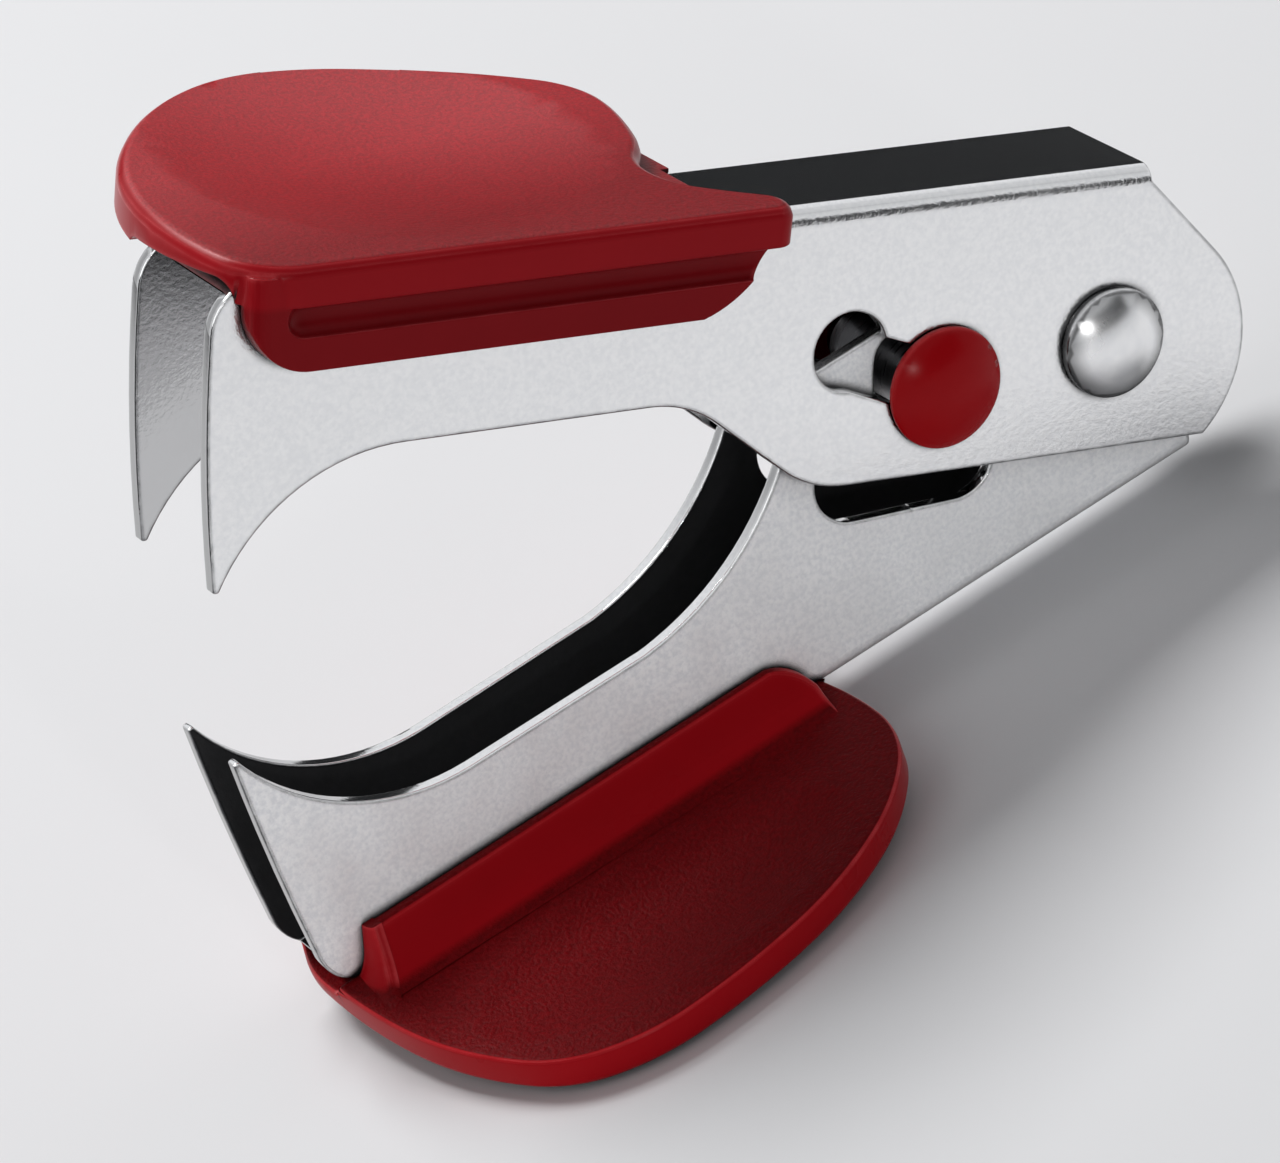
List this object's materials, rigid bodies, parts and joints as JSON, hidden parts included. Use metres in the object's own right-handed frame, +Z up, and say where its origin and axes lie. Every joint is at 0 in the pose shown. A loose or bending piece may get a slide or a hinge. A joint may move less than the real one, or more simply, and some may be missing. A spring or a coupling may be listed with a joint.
{
  "type": "staple remover",
  "caption": "Sprung jaw staple remover: nested pressed-steel jaws with claws, a rivet pivot, winged thumb grips and a sliding lock button.",
  "frame": {"origin": "bottom centre of the part's bounding box, jaws open as pictured", "axes": "+X from the claws towards the rivet, along the level lower jaw; +Y from the near side to the far side; +Z up"},
  "size_m": [0.0664, 0.0422, 0.0487],
  "materials": {
    "plated_steel": "bright nickel plate with a fine orange-peel grain",
    "rivet_plate": "polished",
    "spring_steel": "drawn wire",
    "pin_steel": "turned and blackened",
    "red_grip": "satin, finely textured on top",
    "red_button": "gloss"
  },
  "bodies": {
    "lower_half": {"lower_jaw": "plated_steel", "lower_grip": "red_grip", "torsion_spring": "spring_steel"},
    "upper_half": {"upper_jaw": "plated_steel", "upper_grip": "red_grip", "pivot_rivet": "rivet_plate"},
    "lock": {"lock_pin": "pin_steel", "lock_button_near": "red_button", "lock_button_far": "red_button"}
  },
  "joints": [
    {"name": "jaw_close", "type": "hinge", "parent": "lower_half", "child": "upper_half", "pos_m": [0.02442, 0.00016, 0.0136], "axis": [0, -1, 0], "range_deg": [0, 26], "stiffness_Nm_per_rad": 0.15, "springref_deg": -34.38, "deforming": ["torsion_spring"]},
    {"name": "lock_slide", "type": "slide", "parent": "upper_half", "child": "lock", "axis": [-0.7036, 0, 0.7106], "range_m": [0, 0.0014]}
  ]
}
